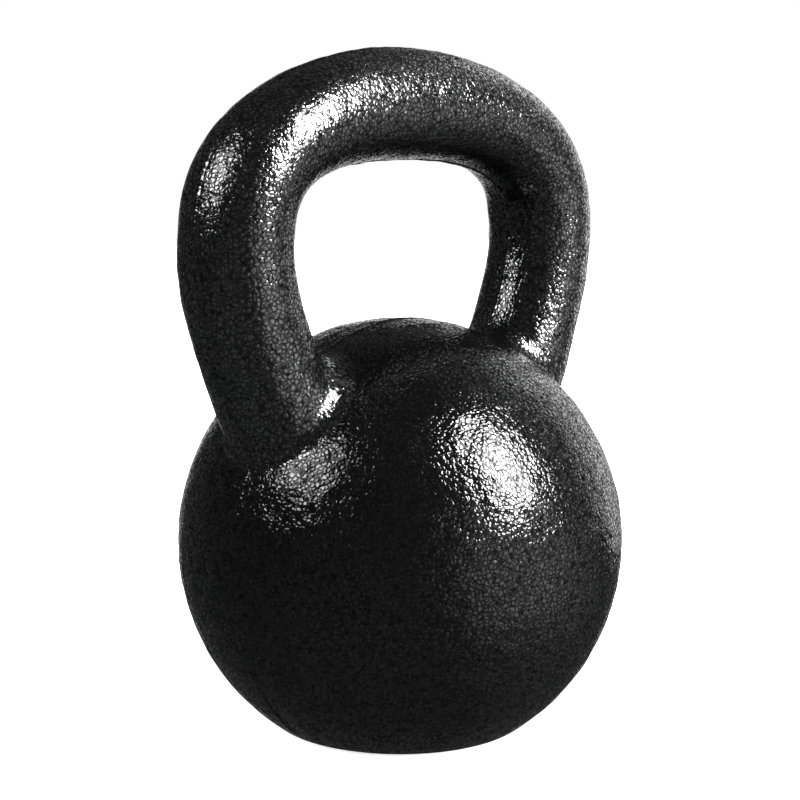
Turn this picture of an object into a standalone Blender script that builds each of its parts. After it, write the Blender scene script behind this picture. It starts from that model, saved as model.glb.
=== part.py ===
"""A 16 kg cast-iron kettlebell that stands on a flat base.

Four solids make it up: the ball, the handle whose two roots sit in sockets in the ball, the
calibration fill poured into a pocket in the base to trim the weight, and the plug that closes
the pocket. Units are metres and +Z is up. The origin is the middle of the base, and the
handle lies in the XZ plane.
"""
import math

import bmesh
import bpy
from mathutils import Matrix, Vector

# Ball: a sphere with a flat base, whose rim is rounded.
BALL_RADIUS = 0.077
BALL_CENTRE = Vector((0.0, 0.0, 0.0635))
RIM_RADIUS = 0.006
BALL_SEGMENTS = 64
BALL_ARC_STEPS = 26
RIM_ARC_STEPS = 3

# Handle centreline, on the +X side: a bent leg from ROOT up to WAIST, then the rounded top.
ROOT = Vector((0.0482, 0.0, 0.1002))
WAIST = Vector((0.0730, 0.0, 0.1650))
TOP_Z = 0.2130
LEG_BEND = 0.68            # height of the leg's control point, as a share of root to waist
TOP_ROUNDNESS_X = 2.14     # exponents of the rounded top, where 2 is an ellipse
TOP_ROUNDNESS_Z = 2.77

# Handle section: half widths in the handle's plane and across it, from root to top.
SECTION_PLACES = (0.0, 0.30, 0.62, 1.0)
HALF_IN_PLANE = (0.0192, 0.0180, 0.0171, 0.0185)
HALF_ACROSS = (0.0220, 0.0192, 0.0196, 0.0199)
HANDLE_SEGMENTS = 36
GRIP_SPACING = 0.0080      # distance between sections along the grip
FOOT_SPACING = 0.0028      # and near the ball, where the fillet needs them closer
FOOT_LENGTH = 0.0420
FOOT_FILLET = 0.0060       # height above the ball where a foot starts to flare
FLARE_LIMIT = 1.5          # the flare stops growing this many fillet heights down

# Keyed joint between handle and ball: a round spigot under each foot.
SPIGOT_RADIUS = 0.0120
SPIGOT_LENGTH = 0.0400
AXIS_SHARE = 0.01          # share of the leg that gives the direction of a root's axis
FIT_GAP = 0.0003           # clearance between any two neighbouring solids

# Calibration pocket, drilled up into the base.
POCKET_RADIUS = 0.0130
POCKET_DEPTH = 0.0400
POCKET_POINT_ANGLE = math.radians(118)
SEAT_RADIUS = 0.0150
SEAT_DEPTH = 0.0070
FILL_LENGTH = 0.0310
PLUG_THICKNESS = 0.0055
PLUG_CHAMFER = 0.0008
POCKET_SEGMENTS = 40

CUTTER_OVERRUN = 0.0100    # how far a cutter starts outside the solid that it cuts
WELD_DISTANCE = 0.00001
SHARP_ANGLE = math.radians(40)


def clear_objects():
    """Remove whatever the scene holds."""
    for item in list(bpy.data.objects):
        bpy.data.objects.remove(item, do_unlink=True)


def finish_material(name, colour, roughness, metallic):
    """Make a Principled material from a linear RGB colour."""
    material = bpy.data.materials.new(name)
    material.use_nodes = True
    shader = material.node_tree.nodes["Principled BSDF"]
    shader.inputs["Base Color"].default_value = (*colour, 1.0)
    shader.inputs["Roughness"].default_value = roughness
    shader.inputs["Metallic"].default_value = metallic
    material.diffuse_color = (*colour, 1.0)
    return material


def add_object(name, bm, material=None):
    """Turn a bmesh into a named object of the scene, with smooth round faces."""
    bmesh.ops.remove_doubles(bm, verts=bm.verts, dist=WELD_DISTANCE)
    bmesh.ops.recalc_face_normals(bm, faces=bm.faces)
    mesh = bpy.data.meshes.new(name)
    bm.to_mesh(mesh)
    bm.free()
    mesh.shade_smooth()
    mesh.set_sharp_from_angle(angle=SHARP_ANGLE)
    item = bpy.data.objects.new(name, mesh)
    bpy.context.collection.objects.link(item)
    if material:
        mesh.materials.append(material)
    return item


def as_cutter(item):
    """Mark an object as a tool of a Boolean, which isn't part of the kettlebell."""
    item.hide_render = True
    item.display_type = "WIRE"
    return item


def combine(item, tool, operation):
    """Add a Boolean of the tool to the object."""
    modifier = item.modifiers.new(tool.name, "BOOLEAN")
    modifier.operation = operation
    modifier.solver = "EXACT"
    modifier.object = as_cutter(tool)


def arc(centre, radius, start, end, steps):
    """Points of an arc in the XZ plane, from one angle to another, both included."""
    angles = [start + (end - start) * step / steps for step in range(steps + 1)]
    return [centre + Vector((radius * math.cos(a), 0.0, radius * math.sin(a))) for a in angles]


def turned(points, segments):
    """Spin an outline in the XZ plane, which starts and ends on the Z axis, into a solid."""
    bm = bmesh.new()
    verts = [bm.verts.new(point) for point in points]
    edges = [bm.edges.new(pair) for pair in zip(verts, verts[1:])]
    bmesh.ops.spin(bm, geom=verts + edges, cent=(0, 0, 0), axis=(0, 0, 1),
                   angle=math.tau, steps=segments, use_merge=True)
    return bm


def sphere_outline(radius, steps):
    """Half outline of a ball about BALL_CENTRE, from its top to its lowest point."""
    return arc(BALL_CENTRE, radius, math.pi / 2, -math.pi / 2, steps)


def ball_outline():
    """Half outline of the ball, from its top over the base rim to the middle of the base."""
    inner = BALL_RADIUS - RIM_RADIUS
    drop = BALL_CENTRE.z - RIM_RADIUS
    rim_centre = Vector((math.sqrt(inner ** 2 - drop ** 2), 0.0, RIM_RADIUS))
    tangent_angle = -math.asin(drop / inner)
    side = arc(BALL_CENTRE, BALL_RADIUS, math.pi / 2, tangent_angle, BALL_ARC_STEPS)
    rim = arc(rim_centre, RIM_RADIUS, tangent_angle, -math.pi / 2, RIM_ARC_STEPS)
    return side + rim[1:] + [Vector((0.0, 0.0, 0.0))]


def pocket_outline():
    """Half outline of the calibration pocket with its plug seat, from the drill point down."""
    point_height = POCKET_RADIUS / math.tan(POCKET_POINT_ANGLE / 2)
    return [Vector((0.0, 0.0, POCKET_DEPTH + point_height)),
            Vector((POCKET_RADIUS, 0.0, POCKET_DEPTH)),
            Vector((POCKET_RADIUS, 0.0, SEAT_DEPTH)),
            Vector((SEAT_RADIUS, 0.0, SEAT_DEPTH)),
            Vector((SEAT_RADIUS, 0.0, -CUTTER_OVERRUN)),
            Vector((0.0, 0.0, -CUTTER_OVERRUN))]


def leg_point(share):
    """Centreline of the leg at a share of its way from ROOT to WAIST: a quadratic curve."""
    bend = Vector((WAIST.x, 0.0, ROOT.z + LEG_BEND * (WAIST.z - ROOT.z)))
    return (ROOT * (1 - share) ** 2 + bend * 2 * share * (1 - share) + WAIST * share ** 2)


def top_point(angle):
    """Centreline of the rounded top at an angle above WAIST: a quarter of a superellipse."""
    across = WAIST.x * max(math.cos(angle), 0.0) ** (2 / TOP_ROUNDNESS_X)
    rise = (TOP_Z - WAIST.z) * math.sin(angle) ** (2 / TOP_ROUNDNESS_Z)
    return Vector((across, 0.0, WAIST.z + rise))


def half_centreline(steps=400):
    """Closely spaced centreline points from ROOT to the middle of the grip."""
    leg = [leg_point(step / steps) for step in range(steps)]
    top = [top_point(math.pi / 2 * step / steps) for step in range(steps + 1)]
    return leg + top


def point_at(line, lengths, distance):
    """Point and direction of a polyline at a distance along it."""
    index = next(i for i in range(1, len(line)) if lengths[i] >= distance or i == len(line) - 1)
    before, after = line[index - 1], line[index]
    share = (distance - lengths[index - 1]) / (lengths[index] - lengths[index - 1])
    return before.lerp(after, share), (after - before).normalized()


def graded(values, share):
    """Value at a share of the way from root to top, eased between SECTION_PLACES."""
    for low in range(len(values) - 2, -1, -1):
        if share >= SECTION_PLACES[low]:
            part = (share - SECTION_PLACES[low]) / (SECTION_PLACES[low + 1] - SECTION_PLACES[low])
            return values[low] + (values[low + 1] - values[low]) * part * part * (3 - 2 * part)
    return values[0]


def station_distances(half_length):
    """Distances of the sections from ROOT to mid grip, closer together near the ball."""
    foot_count = round(FOOT_LENGTH / FOOT_SPACING)
    grip_count = round((half_length - FOOT_LENGTH) / GRIP_SPACING)
    foot = [FOOT_LENGTH * i / foot_count for i in range(foot_count)]
    grip_length = half_length - FOOT_LENGTH
    return foot + [FOOT_LENGTH + grip_length * i / grip_count for i in range(grip_count + 1)]


def section_matrices():
    """Placement of every section of the handle, from the -X root over the top to the +X root."""
    line = half_centreline()
    lengths = [0.0]
    for before, after in zip(line, line[1:]):
        lengths.append(lengths[-1] + (after - before).length)
    half = []
    for distance in station_distances(lengths[-1]):
        place, along = point_at(line, lengths, distance)
        share = distance / lengths[-1]
        outward = Vector((along.z, 0.0, -along.x))
        across = Vector((0.0, 1.0, 0.0))
        frame = Matrix((outward * graded(HALF_IN_PLANE, share),
                        across * graded(HALF_ACROSS, share), along)).transposed()
        half.append(Matrix.Translation(place) @ frame.to_4x4())
    mirror = Matrix.Diagonal((-1.0, 1.0, 1.0, 1.0))
    return [mirror @ matrix for matrix in half[:-1]] + half[::-1]


def fillet_push(point, middle):
    """Shift that flares the foot along the ball: a parabola that lands on it at 45 degrees."""
    radial = (point - BALL_CENTRE).normalized()
    height = (point - BALL_CENTRE).length - BALL_RADIUS
    away = (point - middle).normalized()
    sideways = (away - radial * away.dot(radial)).normalized()
    rise = min(max(FOOT_FILLET - height, 0.0), FOOT_FILLET * FLARE_LIMIT)
    return sideways * rise * rise / (FOOT_FILLET * 2)


def ring_edges(ring):
    """Edges that join the vertices of one ring to each other."""
    members = set(ring)
    edges = {edge for vert in ring for edge in vert.link_edges}
    return [edge for edge in edges if members.issuperset(edge.verts)]


def handle_bar():
    """The bent bar of the handle, flared where its feet meet the ball."""
    bm = bmesh.new()
    rings = []
    for matrix in section_matrices():
        ring = bmesh.ops.create_circle(bm, segments=HANDLE_SEGMENTS, radius=1.0,
                                       matrix=matrix)["verts"]
        for vert in ring:
            vert.co += fillet_push(vert.co, matrix.translation)
        rings.append(ring)
    for lower, upper in zip(rings, rings[1:]):
        bmesh.ops.bridge_loops(bm, edges=ring_edges(lower) + ring_edges(upper))
    bm.faces.new(rings[0])
    bm.faces.new(rings[-1])
    return bm


def root_cylinders(radius, start, end):
    """Two cylinders on the axes of the handle's roots, between two distances from ROOT."""
    bm = bmesh.new()
    for side in (-1.0, 1.0):
        along = (leg_point(AXIS_SHARE) - ROOT).normalized()
        along.x *= side
        middle = Vector((ROOT.x * side, 0.0, ROOT.z)) + along * (start + end) / 2
        turn = along.to_track_quat("Z", "Y").to_matrix().to_4x4()
        bmesh.ops.create_cone(bm, cap_ends=True, segments=POCKET_SEGMENTS, radius1=radius,
                              radius2=radius, depth=end - start,
                              matrix=Matrix.Translation(middle) @ turn)
    return bm


def make_ball(enamel):
    """The ball, with the sockets of the handle and the calibration pocket cut into it."""
    ball = add_object("ball", turned(ball_outline(), BALL_SEGMENTS), enamel)
    sockets = root_cylinders(SPIGOT_RADIUS + FIT_GAP, -FIT_GAP, SPIGOT_LENGTH)
    combine(ball, add_object("socket_cutter", sockets), "DIFFERENCE")
    pocket = turned(pocket_outline(), POCKET_SEGMENTS)
    combine(ball, add_object("pocket_cutter", pocket), "DIFFERENCE")
    return ball


def make_handle(enamel):
    """The handle: its bar cut to the ball's shape, with a spigot under each foot."""
    handle = add_object("handle", handle_bar(), enamel)
    clearance = turned(sphere_outline(BALL_RADIUS + FIT_GAP, BALL_ARC_STEPS * 2), BALL_SEGMENTS)
    combine(handle, add_object("ball_clearance_cutter", clearance), "DIFFERENCE")
    spigots = root_cylinders(SPIGOT_RADIUS, 0.0, SPIGOT_LENGTH)
    combine(handle, add_object("spigot_shape", spigots), "UNION")
    return handle


def make_calibration_fill(resin):
    """The poured fill at the closed end of the pocket."""
    radius = POCKET_RADIUS - FIT_GAP
    shoulder = POCKET_DEPTH - FIT_GAP * 2
    bottom = POCKET_DEPTH - FILL_LENGTH
    outline = [Vector((0.0, 0.0, shoulder + radius / math.tan(POCKET_POINT_ANGLE / 2))),
               Vector((radius, 0.0, shoulder)),
               Vector((radius, 0.0, bottom)),
               Vector((0.0, 0.0, bottom))]
    return add_object("calibration_fill", turned(outline, POCKET_SEGMENTS), resin)


def make_base_plug(steel):
    """The chamfered disc pressed into the seat, set back from the base."""
    radius = SEAT_RADIUS - FIT_GAP
    top = SEAT_DEPTH - FIT_GAP
    bottom = top - PLUG_THICKNESS
    outline = [Vector((0.0, 0.0, top)),
               Vector((radius, 0.0, top)),
               Vector((radius, 0.0, bottom + PLUG_CHAMFER)),
               Vector((radius - PLUG_CHAMFER, 0.0, bottom)),
               Vector((0.0, 0.0, bottom))]
    return add_object("base_plug", turned(outline, POCKET_SEGMENTS), steel)


def main():
    """Build the kettlebell and gather its solids under one empty."""
    clear_objects()
    ball_enamel = finish_material("ball_black_enamel", colour=(0.008, 0.008, 0.009),
                                  roughness=0.28, metallic=0.0)
    handle_enamel = finish_material("handle_black_enamel", colour=(0.010, 0.010, 0.011),
                                    roughness=0.26, metallic=0.0)
    shot_resin = finish_material("shot_and_resin", colour=(0.17, 0.17, 0.16),
                                 roughness=0.60, metallic=0.3)
    plug_steel = finish_material("plug_steel", colour=(0.42, 0.42, 0.41),
                                 roughness=0.35, metallic=1.0)
    solids = [make_ball(ball_enamel), make_handle(handle_enamel),
              make_calibration_fill(shot_resin), make_base_plug(plug_steel)]
    kettlebell = bpy.data.objects.new("kettlebell", None)
    bpy.context.collection.objects.link(kettlebell)
    for item in solids:
        item.parent = kettlebell


main()
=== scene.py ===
"""A cast-iron kettlebell under black hammer enamel, standing on a pale studio floor.

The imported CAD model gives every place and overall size. The ball and the handle get fine meshes
with the cast surface, the mould's parting line and the blended feet; the base plug and the
calibration fill keep their CAD shape and get their own finishes.
"""
import logging
import math
from bisect import bisect_left
from collections.abc import Callable
from dataclasses import dataclass
from enum import Enum
from typing import Any

import bmesh
import bpy
from mathutils import Matrix, Quaternion, Vector, noise


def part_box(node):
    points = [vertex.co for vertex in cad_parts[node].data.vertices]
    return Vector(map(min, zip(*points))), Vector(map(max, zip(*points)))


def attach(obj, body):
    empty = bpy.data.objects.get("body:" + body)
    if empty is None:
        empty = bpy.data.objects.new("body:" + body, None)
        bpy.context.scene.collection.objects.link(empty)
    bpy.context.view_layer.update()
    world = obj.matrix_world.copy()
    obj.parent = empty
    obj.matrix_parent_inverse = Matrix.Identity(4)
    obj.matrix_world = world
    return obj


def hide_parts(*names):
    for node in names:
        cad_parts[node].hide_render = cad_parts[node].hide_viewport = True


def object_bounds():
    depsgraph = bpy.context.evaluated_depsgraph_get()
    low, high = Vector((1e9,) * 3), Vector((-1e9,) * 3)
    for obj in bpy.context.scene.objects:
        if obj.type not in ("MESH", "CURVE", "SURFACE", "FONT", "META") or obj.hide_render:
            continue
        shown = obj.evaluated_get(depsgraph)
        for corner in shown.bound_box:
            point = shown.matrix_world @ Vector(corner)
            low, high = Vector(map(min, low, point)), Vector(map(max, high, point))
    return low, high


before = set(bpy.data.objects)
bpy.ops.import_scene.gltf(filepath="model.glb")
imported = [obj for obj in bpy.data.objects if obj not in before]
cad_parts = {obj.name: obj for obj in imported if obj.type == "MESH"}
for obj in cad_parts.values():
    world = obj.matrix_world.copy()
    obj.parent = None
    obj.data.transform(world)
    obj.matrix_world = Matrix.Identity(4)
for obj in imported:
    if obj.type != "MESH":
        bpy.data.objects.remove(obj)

CAD_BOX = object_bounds()
MM = 0.001
ROOT_BODY = "root"
SHARP_ANGLE = math.radians(35)
log = logging.getLogger("kettlebell")


class Node(str, Enum):
    """The CAD nodes of the kettlebell."""

    BALL = "ball"
    HANDLE = "handle"
    FILL = "calibration_fill"
    PLUG = "base_plug"


def srgb(code: str) -> tuple[float, float, float, float]:
    """Turn an sRGB hex colour into a linear one.

    Args:
        code: The colour as "#RRGGBB".

    Returns:
        Linear red, green, blue and an alpha of 1.
    """
    values = [int(code[i:i + 2], 16) / 255 for i in (1, 3, 5)]
    linear = [v / 12.92 if v <= 0.04045 else ((v + 0.055) / 1.055) ** 2.4 for v in values]
    return (*linear, 1.0)


def add_node(tree: bpy.types.NodeTree, kind: str, sockets: dict[Any, Any],
             **settings: Any) -> bpy.types.Node:
    """Add a node to a tree.

    Args:
        tree: The node tree.
        kind: The node's type name.
        sockets: Values, or output sockets to link from, by input name or number.
        settings: The node's own properties.

    Returns:
        The new node.
    """
    node = tree.nodes.new(kind)
    for name, value in settings.items():
        setattr(node, name, value)
    for name, value in sockets.items():
        if isinstance(value, bpy.types.NodeSocket):
            tree.links.new(value, node.inputs[name])
        else:
            node.inputs[name].default_value = value
    return node


def new_material(name: str) -> tuple[bpy.types.Material, bpy.types.NodeTree]:
    """Make an empty node material.

    Args:
        name: The material's name.

    Returns:
        The material and its cleared node tree.
    """
    material = bpy.data.materials.new(name)
    material.use_nodes = True
    material.node_tree.nodes.clear()
    return material, material.node_tree


def finish_piece(bm: bmesh.types.BMesh, name: str) -> bpy.types.Object:
    """Turn a bmesh into an object at the origin, smooth but for its real corners.

    Args:
        bm: The finished bmesh, which is freed.
        name: The piece's name.

    Returns:
        The linked object.
    """
    mesh = bpy.data.meshes.new(name)
    bm.to_mesh(mesh)
    bm.free()
    mesh.shade_smooth()
    mesh.set_sharp_from_angle(angle=SHARP_ANGLE)
    piece = bpy.data.objects.new(name, mesh)
    bpy.context.scene.collection.objects.link(piece)
    return piece


@dataclass(frozen=True)
class PebbledEnamel:
    """Stoved black hammer enamel on rough cast iron.

    The thick paint draws up into small glossy domes with thin creases between them, so a
    highlight breaks into pebbles. The creases are mixed towards a matt near-black, which is
    painted shade and gives the dark parts a faint leathery net. Under the domes lie the paint's
    orange peel and a fine grit. The relief scales all of the depths.
    """

    name: str
    pebble_mm: float
    roughness: float
    ior: float
    relief: float
    colour: str = "#020202"
    # Shine that the creases keep, least and most; the rest is painted shade.
    crease_shine: tuple[float, float] = (0.0, 0.2)
    crease_drift: tuple[float, float] = (0.4, 0.6)
    crease_share: float = 0.36
    dome_depth_mm: float = 0.044
    crease_depth_mm: float = 0.02
    dome_reach: float = 0.5
    dome_smoothness: float = 0.35
    warp_share: float = 0.6
    warp_pebbles: float = 1.25
    peel_mm: float = 3.4
    peel_depth_mm: float = 0.19
    grit_mm: float = 0.5
    grit_depth_mm: float = 0.01
    smudge_mm: float = 16.0
    smudge_range: tuple[float, float] = (0.3, 0.7)
    smudge_roughness: float = 0.04

    def build(self) -> bpy.types.Material:
        """Make the enamel on object coordinates, so that its grain runs on from part to part.

        Returns:
            The material.
        """
        material, tree = new_material(self.name)
        place = add_node(tree, "ShaderNodeTexCoord", {}).outputs["Object"]
        crest, dome, drift = self.pebbles(tree, place)
        normal = None
        for size, depth in ((self.peel_mm, self.peel_depth_mm), (self.grit_mm, self.grit_depth_mm)):
            waves = add_node(tree, "ShaderNodeTexNoise",
                             {"Vector": place, "Scale": 1 / (size * MM), "Detail": 1.0})
            normal = self.raised(tree, waves.outputs["Fac"], depth, normal)
        normal = self.raised(tree, dome, self.dome_depth_mm, normal)
        normal = self.raised(tree, crest, self.crease_depth_mm, normal)
        # How much enamel shine each crease keeps; the rest is mixed to matt near-black, painted
        # shade.
        dullest, dull = self.crease_shine
        crease = add_node(tree, "ShaderNodeMapRange",
                          {"Value": drift, "From Min": self.crease_drift[0],
                           "From Max": self.crease_drift[1],
                           "To Min": dull, "To Max": dullest}).outputs["Result"]
        shine = add_node(tree, "ShaderNodeMapRange",
                         {"Value": crest, "To Min": crease, "To Max": 1.0})
        smudges = add_node(tree, "ShaderNodeTexNoise",
                           {"Vector": place, "Scale": 1 / (self.smudge_mm * MM), "Detail": 4.0})
        roughness = add_node(tree, "ShaderNodeMapRange",
                             {"Value": smudges.outputs["Fac"],
                              "From Min": self.smudge_range[0],
                              "From Max": self.smudge_range[1],
                              "To Min": self.roughness - self.smudge_roughness,
                              "To Max": self.roughness + self.smudge_roughness})
        paint = add_node(tree, "ShaderNodeBsdfPrincipled",
                         {"Base Color": srgb(self.colour), "IOR": self.ior,
                          "Roughness": roughness.outputs["Result"], "Normal": normal})
        # Painted shade: the creases are mixed towards this matt near-black diffuse.
        painted_crease_shade = add_node(tree, "ShaderNodeBsdfDiffuse", {"Color": srgb(self.colour)})
        shader = add_node(tree, "ShaderNodeMixShader",
                          {0: shine.outputs["Result"], 1: painted_crease_shade.outputs[0], 2: paint.outputs[0]})
        add_node(tree, "ShaderNodeOutputMaterial", {"Surface": shader.outputs[0]})
        return material

    def raised(self, tree: bpy.types.NodeTree, height: bpy.types.NodeSocket, depth_mm: float,
               normal: bpy.types.NodeSocket | None) -> bpy.types.NodeSocket:
        """Add a bump on top of the ones before it.

        Args:
            tree: The material's node tree.
            height: The pattern, from 0 to 1.
            depth_mm: How high a 1 stands.
            normal: The normal of the bumps before it, or None.

        Returns:
            The new normal.
        """
        sockets = {"Height": height, "Distance": self.relief * depth_mm * MM}
        if normal:
            sockets["Normal"] = normal
        return add_node(tree, "ShaderNodeBump", sockets).outputs["Normal"]

    def pebbles(self, tree: bpy.types.NodeTree,
                place: bpy.types.NodeSocket) -> tuple[bpy.types.NodeSocket, ...]:
        """Add the nodes of the pebbles: domes of unequal size with creases between them.

        Args:
            tree: The material's node tree.
            place: The coordinates.

        Returns:
            A mask that is 0 in the creases and 1 on the domes, the height of the domes, and the
            slow noise that bends the creases.
        """
        scale = 1 / (self.pebble_mm * MM)
        drift = add_node(tree, "ShaderNodeTexNoise",
                         {"Vector": place, "Scale": scale / self.warp_pebbles, "Detail": 2.0})
        centred = add_node(tree, "ShaderNodeVectorMath",
                           {0: drift.outputs["Color"], 1: (0.5, 0.5, 0.5)}, operation="SUBTRACT")
        swing = self.warp_share * self.pebble_mm * MM * 2
        warped = add_node(tree, "ShaderNodeVectorMath",
                          {0: centred.outputs[0], 1: (swing,) * 3, 2: place},
                          operation="MULTIPLY_ADD").outputs[0]
        edges = add_node(tree, "ShaderNodeTexVoronoi", {"Vector": warped, "Scale": scale},
                         feature="DISTANCE_TO_EDGE")
        crest = add_node(tree, "ShaderNodeMapRange",
                         {"Value": edges.outputs["Distance"], "From Max": self.crease_share},
                         interpolation_type="SMOOTHSTEP").outputs["Result"]
        centres = add_node(tree, "ShaderNodeTexVoronoi",
                           {"Vector": warped, "Scale": scale,
                            "Smoothness": self.dome_smoothness},
                           feature="SMOOTH_F1")
        spread = add_node(tree, "ShaderNodeMath", {0: centres.outputs["Distance"], 1: 2.0},
                          operation="POWER")
        dome = add_node(tree, "ShaderNodeMapRange",
                        {"Value": spread.outputs[0], "From Max": self.dome_reach,
                         "To Min": 1.0, "To Max": 0.0}).outputs["Result"]
        return crest, dome, drift.outputs["Fac"]


@dataclass(frozen=True)
class TurnedSteel:
    """Bare mild steel faced on a lathe: fine rings round the axis and a satin shine."""

    name: str
    colour: str = "#9A9A98"
    roughness: float = 0.34
    groove_mm: float = 0.35
    groove_depth_mm: float = 0.01
    wave_length: float = 0.31
    stain_mm: float = 7.14

    def build(self) -> bpy.types.Material:
        """Make the steel, with its tool rings about the Z axis.

        Returns:
            The material.
        """
        material, tree = new_material(self.name)
        place = add_node(tree, "ShaderNodeTexCoord", {}).outputs["Object"]
        rings = add_node(tree, "ShaderNodeTexWave",
                         {"Vector": place, "Scale": self.wave_length / (self.groove_mm * MM),
                          "Distortion": 0.4, "Detail": 1.0},
                         wave_type="RINGS", rings_direction="Z")
        bump = add_node(tree, "ShaderNodeBump",
                        {"Height": rings.outputs["Fac"], "Distance": self.groove_depth_mm * MM})
        stains = add_node(tree, "ShaderNodeTexNoise",
                          {"Vector": place, "Scale": 1 / (self.stain_mm * MM), "Detail": 4.0})
        roughness = add_node(tree, "ShaderNodeMapRange",
                             {"Value": stains.outputs["Fac"], "To Min": self.roughness - 0.1,
                              "To Max": self.roughness + 0.15})
        shader = add_node(tree, "ShaderNodeBsdfPrincipled",
                          {"Base Color": srgb(self.colour), "Metallic": 1.0,
                           "Roughness": roughness.outputs["Result"],
                           "Normal": bump.outputs["Normal"]})
        add_node(tree, "ShaderNodeOutputMaterial", {"Surface": shader.outputs["BSDF"]})
        return material


@dataclass(frozen=True)
class ShotResin:
    """Steel shot set in poured grey resin: dull grey with round lighter beads in it."""

    name: str
    resin_colour: str = "#4A4A47"
    shot_colour: str = "#8C8C88"
    shot_mm: float = 2.0
    shot_edge: tuple[float, float] = (0.42, 0.5)
    shot_height_mm: float = 0.2
    roughness: float = 0.6

    def build(self) -> bpy.types.Material:
        """Make the resin with its shot.

        Returns:
            The material.
        """
        material, tree = new_material(self.name)
        place = add_node(tree, "ShaderNodeTexCoord", {}).outputs["Object"]
        beads = add_node(tree, "ShaderNodeTexVoronoi",
                         {"Vector": place, "Scale": 1 / (self.shot_mm * MM), "Randomness": 0.6})
        bead = add_node(tree, "ShaderNodeValToRGB", {"Fac": beads.outputs["Distance"]})
        colours = (self.shot_colour, self.resin_colour)
        for stop, colour, position in zip(bead.color_ramp.elements, colours, self.shot_edge):
            stop.color, stop.position = srgb(colour), position
        bump = add_node(tree, "ShaderNodeBump",
                        {"Height": beads.outputs["Distance"],
                         "Distance": self.shot_height_mm * MM}, invert=True)
        shader = add_node(tree, "ShaderNodeBsdfPrincipled",
                          {"Base Color": bead.outputs["Color"], "Roughness": self.roughness,
                           "Normal": bump.outputs["Normal"]})
        add_node(tree, "ShaderNodeOutputMaterial", {"Surface": shader.outputs["BSDF"]})
        return material


@dataclass(frozen=True)
class CastSkin:
    """The relief that the sand mould leaves under the enamel.

    Shallow swells a few millimetres wide, and a thin raised line where the mould's halves met,
    which fades in and out because it was ground down by hand. The halves didn't quite match, so
    there is a small step across the line, which dies away over some half widths of the line.
    """

    swell_mm: tuple[float, ...] = (12.0, 5.5, 3.2)
    swell_height_mm: tuple[float, ...] = (0.22, 0.16, 0.08)
    line_height_mm: float = 0.38
    line_half_width_mm: float = 0.42
    line_patch_mm: float = 38.0
    line_left: float = 0.75
    line_left_swing: float = 1.3
    line_left_least: float = 0.1
    mismatch_mm: float = 0.09
    mismatch_reach: float = 14.0

    def swell(self, point: Vector) -> float:
        """Height of the swells at a point, in metres."""
        pairs = zip(self.swell_mm, self.swell_height_mm)
        return sum(noise.noise(point / (size * MM)) * height * MM for size, height in pairs)

    def parting_line(self, point: Vector) -> float:
        """Work out the relief of the parting line, which runs where y is zero.

        Args:
            point: A point of the casting.

        Returns:
            Height in metres of the line and the step across it.
        """
        across = point.y / (self.line_half_width_mm * MM)
        patches = noise.noise(point / (self.line_patch_mm * MM))
        left = self.line_left + self.line_left_swing * patches
        left = min(max(left, self.line_left_least), 1.0)
        fade = math.exp(-(across / self.mismatch_reach) ** 2)
        step = self.mismatch_mm * math.tanh(across) * fade
        return (self.line_height_mm * math.exp(-across ** 2) + step) * left * MM

    def apply(self, bm: bmesh.types.BMesh, strength: Callable[[Vector], float]) -> None:
        """Raise a bmesh's vertices along their normals.

        Args:
            bm: The casting.
            strength: A function of a point that says how much of the relief it takes.
        """
        bm.normal_update()
        lifts = [strength(vert.co) * (self.swell(vert.co) + self.parting_line(vert.co))
                 for vert in bm.verts]
        shifts = [vert.normal * lift for vert, lift in zip(bm.verts, lifts)]
        for vert, shift in zip(bm.verts, shifts):
            vert.co += shift


def turned(outline: list[Vector], segments: int) -> bmesh.types.BMesh:
    """Spin an outline in the XZ plane once round the Z axis.

    Args:
        outline: Points from the axis back to the axis.
        segments: Number of steps round.

    Returns:
        The closed shape.
    """
    bm = bmesh.new()
    verts = [bm.verts.new(point) for point in outline]
    edges = [bm.edges.new(pair) for pair in zip(verts, verts[1:])]
    bmesh.ops.spin(bm, geom=verts + edges, cent=(0, 0, 0), axis=(0, 0, 1), angle=math.tau,
                   steps=segments, use_merge=True)
    bmesh.ops.remove_doubles(bm, verts=bm.verts, dist=0.001 * MM)
    bmesh.ops.recalc_face_normals(bm, faces=bm.faces)
    return bm


def arc(centre: Vector, radius: float, start: float, end: float, steps: int) -> list[Vector]:
    """Points of an arc in the XZ plane.

    Args:
        centre: The arc's centre.
        radius: Its radius.
        start: First angle, from +X towards +Z, in radians.
        end: Last angle.
        steps: Number of steps between them.

    Returns:
        The points, both ends included.
    """
    angles = [start + (end - start) * step / steps for step in range(steps + 1)]
    return [centre + Vector((radius * math.cos(a), 0.0, radius * math.sin(a))) for a in angles]


def gathered(angle: float, focus: float) -> float:
    """Shift an angle so that equal steps gather at the plane where y is zero.

    Args:
        angle: The even angle in radians.
        focus: 0 leaves it, and towards 1 the steps crowd together.

    Returns:
        The shifted angle.
    """
    return angle - focus / 2 * math.sin(2 * angle)


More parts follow.
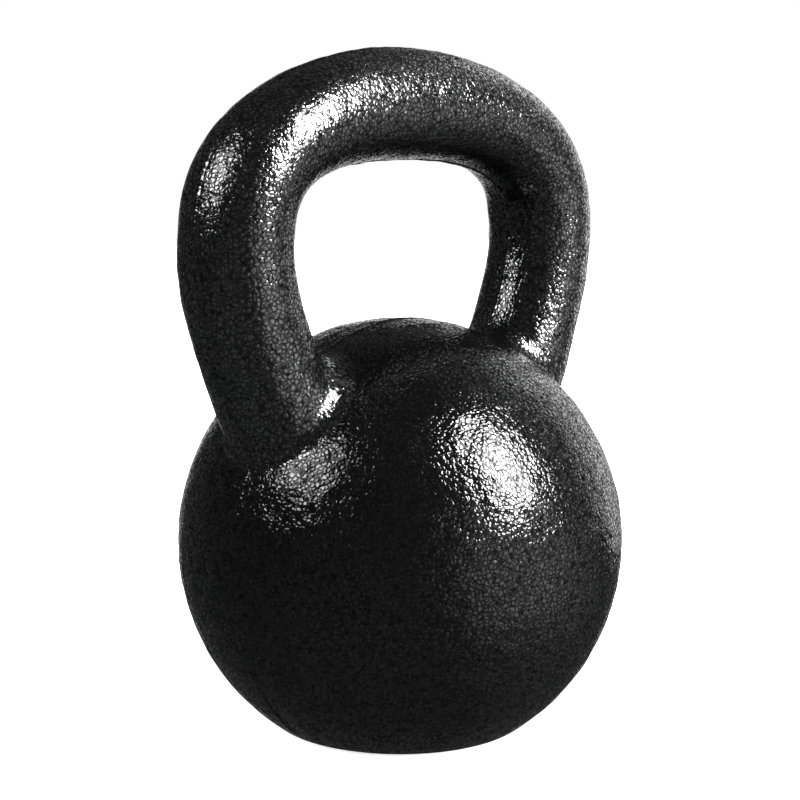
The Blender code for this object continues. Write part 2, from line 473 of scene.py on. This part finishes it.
@dataclass
class Ball:
    """The cast ball: a sphere with a flat base, a rounded rim and the calibration pocket."""

    skin: CastSkin
    enamel: PebbledEnamel
    fit_gap: float = 0.3 * MM
    rim_radius: float = 6.0 * MM
    drill_point: float = math.radians(118)
    segments: int = 400
    arc_steps: int = 190
    rim_steps: int = 10
    line_focus: float = 0.6
    bare_height: float = 1.0 * MM
    full_height: float = 9.0 * MM
    skin_share: float = 0.97

    def __post_init__(self) -> None:
        """Read the ball's radius and centre from the frame."""
        low, high = (Vector(corner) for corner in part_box(Node.BALL.value))
        self.radius = (high.x - low.x) / 2
        self.centre = Vector((0.0, 0.0, high.z - self.radius))
        self.base = low.z

    def outline(self) -> list[Vector]:
        """Draw half of the ball's outline.

        Returns:
            Points from the ball's top, down its side, round the rim and up into the pocket.
        """
        inner = self.radius - self.rim_radius
        drop = self.centre.z - self.base - self.rim_radius
        rim_centre = Vector((math.sqrt(inner ** 2 - drop ** 2), 0.0, self.base + self.rim_radius))
        tangent = -math.asin(drop / inner)
        side = arc(self.centre, self.radius, math.pi / 2, tangent, self.arc_steps)
        rim = arc(rim_centre, self.rim_radius, tangent, -math.pi / 2, self.rim_steps)
        return side + rim[1:] + self.pocket()

    def pocket(self) -> list[Vector]:
        """Draw half of the outline of the plug's seat and the drilled pocket above it.

        Returns:
            Points from the base up to the drill's point on the axis.
        """
        plug_high, fill_high = (Vector(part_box(n.value)[1]) for n in (Node.PLUG, Node.FILL))
        seat, bore = plug_high.x + self.fit_gap, fill_high.x + self.fit_gap
        seat_top, point = plug_high.z + self.fit_gap, fill_high.z + self.fit_gap
        shoulder = point - bore / math.tan(self.drill_point / 2)
        places = [(seat, self.base), (seat, seat_top), (bore, seat_top), (bore, shoulder),
                  (0.0, point)]
        return [Vector((x, 0.0, z)) for x, z in places]

    def relief(self, point: Vector) -> float:
        """Fade the cast relief out towards the ground base.

        Args:
            point: A point of the ball.

        Returns:
            The share of the relief that it takes, none on the base and in the pocket.
        """
        share = (point.z - self.base - self.bare_height) / (self.full_height - self.bare_height)
        share = min(max(share, 0.0), 1.0)
        outside = (point - self.centre).length > self.radius * self.skin_share
        return share * share * (3 - 2 * share) if outside else 0.0

    def build(self) -> bpy.types.Object:
        """Model the ball, dress it, hang it on the root body and hide its CAD node.

        Returns:
            The ball.
        """
        bm = turned(self.outline(), self.segments)
        for vert in bm.verts:
            distance = math.hypot(vert.co.x, vert.co.y)
            angle = gathered(math.atan2(vert.co.y, vert.co.x), self.line_focus)
            vert.co.x, vert.co.y = distance * math.cos(angle), distance * math.sin(angle)
        self.skin.apply(bm, self.relief)
        piece = finish_piece(bm, "cast_ball")
        piece.data.materials.append(self.enamel.build())
        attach(piece, ROOT_BODY)
        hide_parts(Node.BALL.value)
        return piece


@dataclass
class Handle:
    """The looped handle: an oval bar bent over the ball, with feet that blend into it."""

    ball: Ball
    skin: CastSkin
    enamel: PebbledEnamel
    root_from_ball: tuple[float, float] = (48.2 * MM, 36.7 * MM)
    waist_above_ball: float = 101.5 * MM
    waist_half: float = 17.61 * MM
    leg_bend: float = 0.68
    roundness: tuple[float, float] = (2.14, 2.77)
    places: tuple[float, ...] = (0.0, 0.30, 0.62, 1.0)
    half_in_plane_mm: tuple[float, ...] = (19.2, 18.0, 17.1, 18.5)
    half_across_mm: tuple[float, ...] = (20.5, 19.2, 19.4, 18.3)
    fillet_outside: float = 3.5 * MM
    fillet_inside: float = 12.0 * MM
    fillet_gather: float = 0.65
    sink: float = 0.03 * MM
    root_depth: float = 2.0 * MM
    segments: int = 160
    leg_rows: int = 128
    fillet_rows: int = 18
    line_focus: float = 0.6

    def __post_init__(self) -> None:
        """Work the centreline out from the frame."""
        high = Vector(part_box(Node.HANDLE.value)[1])
        self.top = high.z - self.half_in_plane_mm[-1] * MM
        self.waist = Vector((high.x - self.waist_half, 0.0,
                             self.ball.centre.z + self.waist_above_ball))
        self.root = self.ball.centre + Vector((self.root_from_ball[0], 0.0,
                                               self.root_from_ball[1]))
        self.line = self.centreline()
        self.lengths = [0.0]
        for before, after in zip(self.line, self.line[1:]):
            self.lengths.append(self.lengths[-1] + (after - before).length)

    def centreline(self, steps: int = 260) -> list[Vector]:
        """Points of the centreline, from the +X root to the middle of the grip.

        Args:
            steps: Number of steps on the leg and again on the rounded top.

        Returns:
            The points.
        """
        bend = Vector((self.waist.x, 0.0,
                       self.root.z + self.leg_bend * (self.waist.z - self.root.z)))
        points = []
        for step in range(steps):
            t = step / steps
            points.append(self.root * (1 - t) ** 2 + bend * 2 * t * (1 - t) + self.waist * t ** 2)
        for step in range(steps + 1):
            angle = math.pi / 2 * step / steps
            across = self.waist.x * max(math.cos(angle), 0.0) ** (2 / self.roundness[0])
            rise = (self.top - self.waist.z) * math.sin(angle) ** (2 / self.roundness[1])
            points.append(Vector((across, 0.0, self.waist.z + rise)))
        return points

    def middle(self, distance: float) -> tuple[Vector, Vector]:
        """Find a place on the centreline.

        Args:
            distance: Distance from the root.

        Returns:
            The point and the direction towards the grip.
        """
        index = min(max(bisect_left(self.lengths, distance), 1), len(self.line) - 1)
        before, after = self.line[index - 1], self.line[index]
        share = (distance - self.lengths[index - 1]) / (after - before).length
        first = (after - self.line[max(index - 2, 0)]).normalized()
        last = (self.line[min(index + 1, len(self.line) - 1)] - before).normalized()
        return before.lerp(after, share), first.lerp(last, share).normalized()

    def graded(self, values: tuple[float, ...], share: float) -> float:
        """Ease between values given at the section places.

        Args:
            values: One value for each place, in millimetres.
            share: How far from the root to the middle of the grip.

        Returns:
            The value in metres.
        """
        share = min(max(share, 0.0), 1.0)
        low = max(i for i in range(len(values) - 1) if share >= self.places[i])
        part = (share - self.places[low]) / (self.places[low + 1] - self.places[low])
        return MM * (values[low] + (values[low + 1] - values[low]) * part * part * (3 - 2 * part))

    def bar_point(self, distance: float, angle: float) -> Vector:
        """Point on the bar's skin.

        Args:
            distance: Distance along the centreline from the root.
            angle: Angle round the section, from the outside of the loop.

        Returns:
            The point.
        """
        place, along = self.middle(distance)
        share = distance / self.lengths[-1]
        outward = Vector((along.z, 0.0, -along.x))
        return (place + outward * (self.graded(self.half_in_plane_mm, share) * math.cos(angle))
                + Vector((0.0, self.graded(self.half_across_mm, share) * math.sin(angle), 0.0)))

    def foot(self, angle: float) -> tuple[float, Vector, Vector]:
        """Where the bar's skin meets the ball, and how the fillet leaves it.

        Args:
            angle: Angle round the section.

        Returns:
            Distance along the centreline where the fillet starts, the corner that the fillet
            rounds off, and the point where it lands on the ball.
        """
        near, far = 0.0, 2 * self.ball.radius
        while far - near > 0.001 * MM:
            halfway = (near + far) / 2
            inside = (self.bar_point(halfway, angle) - self.ball.centre).length < self.ball.radius
            near, far = (halfway, far) if inside else (near, halfway)
        corner = self.bar_point(near, angle)
        up = (self.bar_point(near + MM, angle) - corner).normalized()
        radial = (corner - self.ball.centre).normalized()
        away = corner - self.middle(near)[0]
        sideways = (away - radial * away.dot(radial)).normalized()
        inwardness = ((1 - math.cos(angle)) / 2) ** self.fillet_gather
        radius = self.fillet_outside + (self.fillet_inside - self.fillet_outside) * inwardness
        reach = radius / math.tan(up.angle(sideways) / 2)
        landing = corner + sideways * reach - self.ball.centre
        return near + reach, corner, (self.ball.centre
                                      + landing.normalized() * (self.ball.radius - self.sink))

    def skin_point(self, row: float, angle: float,
                   foot: tuple[float, Vector, Vector]) -> Vector:
        """Point of the handle's mesh.

        Args:
            row: Row number, from the middle of the grip to the root.
            angle: Angle round the section.
            foot: What foot() says for that angle.

        Returns:
            The point.
        """
        start, corner, landing = foot
        if row <= self.leg_rows:
            share = row / self.leg_rows
            return self.bar_point(self.lengths[-1] * (1 - share) + start * share, angle)
        share = (row - self.leg_rows) / self.fillet_rows
        if share <= 1.0:
            begin = self.bar_point(start, angle)
            return (begin * (1 - share) ** 2 + corner * 2 * share * (1 - share)
                    + landing * share ** 2)
        radial = (landing - self.ball.centre).normalized()
        return landing - radial * self.root_depth

    def build(self) -> bpy.types.Object:
        """Model the handle, dress it, hang it on the root body and hide its CAD node.

        A straight turned rod of radius 1, one unit to a row, is bent on to the centreline as
        half the handle, and mirrored. So a vertex within half a unit of the Z axis is on it.

        Returns:
            The handle.
        """
        last_row = self.leg_rows + self.fillet_rows
        rows = [Vector((1.0, 0.0, float(row))) for row in range(last_row + 1)]
        root = [Vector((1.0, 0.0, last_row + 1.0)), Vector((0.0, 0.0, last_row + 1.0))]
        bm = turned([Vector((0.0, 0.0, 0.0))] + rows + root, self.segments)
        lid = [vert for vert in bm.verts if vert.co.z < 0.5 and vert.co.xy.length < 0.5]
        bmesh.ops.delete(bm, geom=lid, context="VERTS")
        feet: dict[int, tuple[float, Vector, Vector]] = {}
        for vert in bm.verts:
            if vert.co.xy.length < 0.5:
                vert.co = self.middle(self.root_distance())[0]
                continue
            even = math.atan2(vert.co.y, vert.co.x)
            angle = gathered(even, self.line_focus)
            key = round(even / math.tau * self.segments) % self.segments
            if key not in feet:
                feet[key] = self.foot(angle)
            vert.co = self.skin_point(vert.co.z, angle, feet[key])
        bmesh.ops.mirror(bm, geom=bm.verts[:] + bm.edges[:] + bm.faces[:], axis="X",
                         matrix=Matrix.Identity(4), merge_dist=0.01 * MM)
        bmesh.ops.remove_doubles(bm, verts=bm.verts, dist=0.001 * MM)
        bmesh.ops.recalc_face_normals(bm, faces=bm.faces)
        self.skin.apply(bm, self.relief)
        piece = finish_piece(bm, "cast_handle")
        piece.data.materials.append(self.enamel.build())
        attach(piece, ROOT_BODY)
        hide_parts(Node.HANDLE.value)
        return piece

    def root_distance(self) -> float:
        """Find where the centreline is the root depth under the ball's skin.

        Returns:
            Distance along the centreline from the root.
        """
        depth = self.ball.radius - self.root_depth
        inside = [d for d, p in zip(self.lengths, self.line)
                  if (p - self.ball.centre).length < depth]
        return inside[-1]

    def relief(self, point: Vector) -> float:
        """How much of the cast relief a point takes: all of it outside the ball."""
        hidden = (point - self.ball.centre).length < self.ball.radius - self.root_depth / 2
        return 0.0 if hidden else 1.0


@dataclass
class BaseFittings:
    """The steel plug and the poured fill, which keep their CAD solids."""

    steel: TurnedSteel
    resin: ShotResin

    def dress(self) -> list[bpy.types.Object]:
        """Give both CAD solids their finishes.

        Returns:
            The plug and the fill.
        """
        pairs = ((Node.PLUG, self.steel), (Node.FILL, self.resin))
        pieces = []
        for node, finish in pairs:
            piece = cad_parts[node.value]
            piece.data.materials.clear()
            piece.data.materials.append(finish.build())
            pieces.append(piece)
        return pieces


@dataclass(frozen=True)
class Softbox:
    """A rectangular softbox that faces the kettlebell.

    Its direction is seen from the kettlebell: degrees to the right of the camera, and above
    the floor. It leans by some degrees, clockwise as the kettlebell sees it.
    """

    name: str
    right: float
    above: float
    distance: float
    width: float
    height: float
    radiance: float
    lean: float = 0.0


@dataclass(frozen=True)
class Glow:
    """A soft bright patch of the studio's surroundings, which the enamel mirrors.

    Its direction is given as a softbox's is. It is at full radiance within its core and gone
    at its edge, both in degrees from its middle.
    """

    right: float
    above: float
    core: float
    edge: float
    radiance: float


@dataclass
class Studio:
    """The camera, the pale floor, the softboxes and the surroundings."""

    azimuth: float = math.radians(-45.39)
    elevation: float = math.radians(8.64)
    camera_distance: float = 631.8 * MM
    lens: float = 82.44
    aim_share: float = 0.4847
    floor_size: float = 4.0
    floor_colour: str = "#F4F4F4"
    floor_glow: float = 0.8
    sky: float = 1.0
    gloom: float = 0.15
    softboxes: tuple[Softbox, ...] = (
        Softbox("key_softbox", right=67.5, above=35.5, distance=2.0, width=0.86, height=1.42,
                radiance=90.0),
        Softbox("left_softbox", right=-63.0, above=38.0, distance=1.2, width=0.56, height=0.58,
                radiance=18.0),
        Softbox("right_card", right=143.0, above=13.0, distance=1.2, width=0.80, height=1.12,
                radiance=2.6, lean=-28.0),
    )
    glows: tuple[Glow, ...] = (
        Glow(62.0, 0.0, 6.0, 44.0, 2.0),
        Glow(100.0, -12.0, 5.0, 30.0, 0.4),
        Glow(112.0, 38.0, 6.0, 36.0, 0.75),
        Glow(158.0, 36.0, 5.0, 20.0, 0.3),
        Glow(180.0, -6.0, 8.0, 24.0, 1.9),
        Glow(80.0, -30.0, 10.0, 45.0, 0.24),
        Glow(-20.0, -38.0, 10.0, 60.0, 0.12),
    )

    def __post_init__(self) -> None:
        """Aim at the kettlebell's middle."""
        low, high = (Vector(corner) for corner in CAD_BOX)
        self.ground = low.z
        self.aim = Vector((0.0, 0.0, low.z + (high.z - low.z) * self.aim_share))

    def direction(self, right: float, above: float) -> Vector:
        """Direction from the kettlebell.

        Args:
            right: Degrees to the right of the camera.
            above: Degrees above the floor.

        Returns:
            A unit vector.
        """
        turn = self.azimuth + math.radians(right)
        rise = math.radians(above)
        return Vector((math.sin(turn) * math.cos(rise), -math.cos(turn) * math.cos(rise),
                       math.sin(rise)))

    def add_camera(self) -> bpy.types.Object:
        """Place the camera and make it the scene's own.

        Returns:
            The camera.
        """
        data = bpy.data.cameras.new("camera")
        data.lens = self.lens
        data.clip_start = 0.01
        camera = bpy.data.objects.new("camera", data)
        bpy.context.scene.collection.objects.link(camera)
        back = self.direction(0.0, math.degrees(self.elevation))
        camera.location = self.aim + back * self.camera_distance
        camera.rotation_euler = back.to_track_quat("Z", "Y").to_euler()
        bpy.context.scene.camera = camera
        return camera

    def add_floor(self) -> bpy.types.Object:
        """Lay the pale floor, which the enamel's reflections leave out.

        Returns:
            The floor.
        """
        bm = bmesh.new()
        bmesh.ops.create_grid(bm, x_segments=1, y_segments=1, size=self.floor_size / 2,
                              matrix=Matrix.Translation((0.0, 0.0, self.ground)))
        floor = finish_piece(bm, "studio_floor")
        material, tree = new_material("pale_matt_floor")
        paint = add_node(tree, "ShaderNodeBsdfDiffuse", {"Color": srgb(self.floor_colour)})
        glow = add_node(tree, "ShaderNodeEmission", {"Color": srgb(self.floor_colour),
                                                     "Strength": self.floor_glow})
        both = add_node(tree, "ShaderNodeAddShader", {0: paint.outputs[0], 1: glow.outputs[0]})
        add_node(tree, "ShaderNodeOutputMaterial", {"Surface": both.outputs[0]})
        floor.data.materials.append(material)
        floor.visible_glossy = False
        return floor

    def add_softbox(self, box: Softbox) -> bpy.types.Object:
        """Place a softbox.

        Args:
            box: Its direction, size and brightness.

        Returns:
            The light.
        """
        data = bpy.data.lights.new(box.name, "AREA")
        data.shape = "RECTANGLE"
        data.size, data.size_y = box.width, box.height
        data.energy = box.radiance * math.pi * box.width * box.height
        light = bpy.data.objects.new(box.name, data)
        bpy.context.scene.collection.objects.link(light)
        towards = self.direction(box.right, box.above)
        light.location = self.aim + towards * box.distance
        lean = Quaternion((0.0, 0.0, 1.0), math.radians(box.lean))
        light.rotation_euler = (towards.to_track_quat("Z", "Y") @ lean).to_euler()
        light.visible_camera = False
        return light

    def add_surroundings(self) -> bpy.types.World:
        """Make the surroundings: plain white to look at, dim with soft glows in the gloss.

        Returns:
            The world.
        """
        world = bpy.data.worlds.new("studio")
        world.use_nodes = True
        tree = world.node_tree
        tree.nodes.clear()
        heading = add_node(tree, "ShaderNodeTexCoord", {}).outputs["Generated"]
        total: Any = self.gloom
        for glow in self.glows:
            towards = self.direction(glow.right, glow.above)
            closeness = add_node(tree, "ShaderNodeVectorMath", {0: heading, 1: towards},
                                 operation="DOT_PRODUCT").outputs["Value"]
            patch = add_node(tree, "ShaderNodeMapRange",
                             {"Value": closeness, "From Min": math.cos(math.radians(glow.edge)),
                              "From Max": math.cos(math.radians(glow.core)),
                              "To Max": glow.radiance},
                             interpolation_type="SMOOTHSTEP").outputs["Result"]
            total = add_node(tree, "ShaderNodeMath", {0: patch, 1: total},
                             operation="ADD").outputs[0]
        glossy = add_node(tree, "ShaderNodeLightPath", {}).outputs["Is Glossy Ray"]
        strength = add_node(tree, "ShaderNodeMapRange",
                            {"Value": glossy, "To Min": self.sky, "To Max": total})
        light = add_node(tree, "ShaderNodeBackground",
                         {"Color": (1.0, 1.0, 1.0, 1.0), "Strength": strength.outputs["Result"]})
        add_node(tree, "ShaderNodeOutputWorld", {"Surface": light.outputs[0]})
        bpy.context.scene.world = world
        return world

    def build(self) -> None:
        """Set up the whole studio."""
        self.add_camera()
        self.add_floor()
        for box in self.softboxes:
            self.add_softbox(box)
        self.add_surroundings()
        bpy.context.scene.view_settings.view_transform = "Standard"


def main() -> None:
    """Build the studio and the kettlebell, and report each piece."""
    logging.basicConfig(level=logging.INFO, format="%(name)s: %(message)s")
    Studio().build()
    skin = CastSkin()
    ball = Ball(skin, PebbledEnamel("ball_black_hammer_enamel", pebble_mm=1.45, roughness=0.11,
                                    ior=1.5, relief=1.25))
    # The handle's thicker coat has higher domes. Its higher IOR makes all its reflections brighter
    # than the ball's: painted reflection, standing in for the brighter floor that the handle
    # mirrors.
    handle = Handle(ball, skin, PebbledEnamel("handle_black_hammer_enamel", pebble_mm=1.5,
                                              roughness=0.155, ior=1.85, relief=1.5))
    fittings = BaseFittings(TurnedSteel("plug_faced_steel"), ShotResin("fill_shot_and_resin"))
    for piece in [ball.build(), handle.build(), *fittings.dress()]:
        log.info("%s: %d faces", piece.name, len(piece.data.polygons))


if __name__ == "__main__":
    main()
